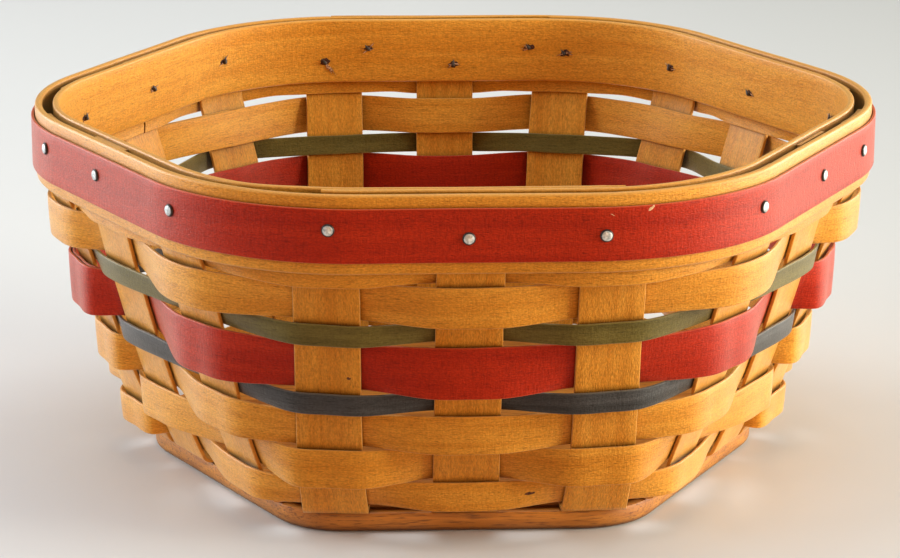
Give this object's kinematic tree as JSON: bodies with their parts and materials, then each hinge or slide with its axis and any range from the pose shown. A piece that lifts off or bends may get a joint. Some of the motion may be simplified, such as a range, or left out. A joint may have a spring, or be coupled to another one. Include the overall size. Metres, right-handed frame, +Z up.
{
  "type": "woven splint basket",
  "caption": "Open hexagonal splint basket on a grooved wooden board, with plain and coloured woven rows and a tacked rim of two bands and a coloured trim strip.",
  "frame": {"origin": "centre of the board's underside, on the surface the basket stands on", "axes": "+X to the right along the width across two corners, +Y from the pictured front to the back, +Z up"},
  "size_m": [0.322, 0.3034, 0.1385],
  "materials": {
    "splint_natural": "honey stained and varnished maple splint",
    "splint_red": "red stained and varnished maple splint",
    "splint_green": "dark green stained maple splint",
    "splint_blue": "dark blue stained maple splint",
    "board": "brown stained and varnished board",
    "tack_steel": "dull grey steel"
  },
  "bodies": {
    "root": {"base_board": "board", "upright_front_1": "splint_natural", "upright_front_2": "splint_natural", "upright_front_3": "splint_natural", "upright_right_front_1": "splint_natural", "upright_right_front_2": "splint_natural", "upright_right_front_3": "splint_natural", "upright_right_back_1": "splint_natural", "upright_right_back_2": "splint_natural", "upright_right_back_3": "splint_natural", "upright_back_1": "splint_natural", "upright_back_2": "splint_natural", "upright_back_3": "splint_natural", "upright_left_back_1": "splint_natural", "upright_left_back_2": "splint_natural", "upright_left_back_3": "splint_natural", "upright_left_front_1": "splint_natural", "upright_left_front_2": "splint_natural", "upright_left_front_3": "splint_natural", "weaver_0_natural": "splint_natural", "weaver_1_natural": "splint_natural", "weaver_2_green": "splint_green", "weaver_3_red": "splint_red", "weaver_4_blue": "splint_blue", "weaver_5_natural": "splint_natural", "weaver_6_natural": "splint_natural", "weaver_7_natural": "splint_natural", "outer_rim_band": "splint_natural", "inner_rim_band": "splint_natural", "red_rim_trim": "splint_red", "tack_front_1": "tack_steel", "tack_front_2": "tack_steel", "tack_front_3": "tack_steel", "tack_right_front_1": "tack_steel", "tack_right_front_2": "tack_steel", "tack_right_front_3": "tack_steel", "tack_right_back_1": "tack_steel", "tack_right_back_2": "tack_steel", "tack_right_back_3": "tack_steel", "tack_back_1": "tack_steel", "tack_back_2": "tack_steel", "tack_back_3": "tack_steel", "tack_left_back_1": "tack_steel", "tack_left_back_2": "tack_steel", "tack_left_back_3": "tack_steel", "tack_left_front_1": "tack_steel", "tack_left_front_2": "tack_steel", "tack_left_front_3": "tack_steel", "lap_tack_right": "tack_steel", "lap_tack_left": "tack_steel"}
  },
  "joints": []
}
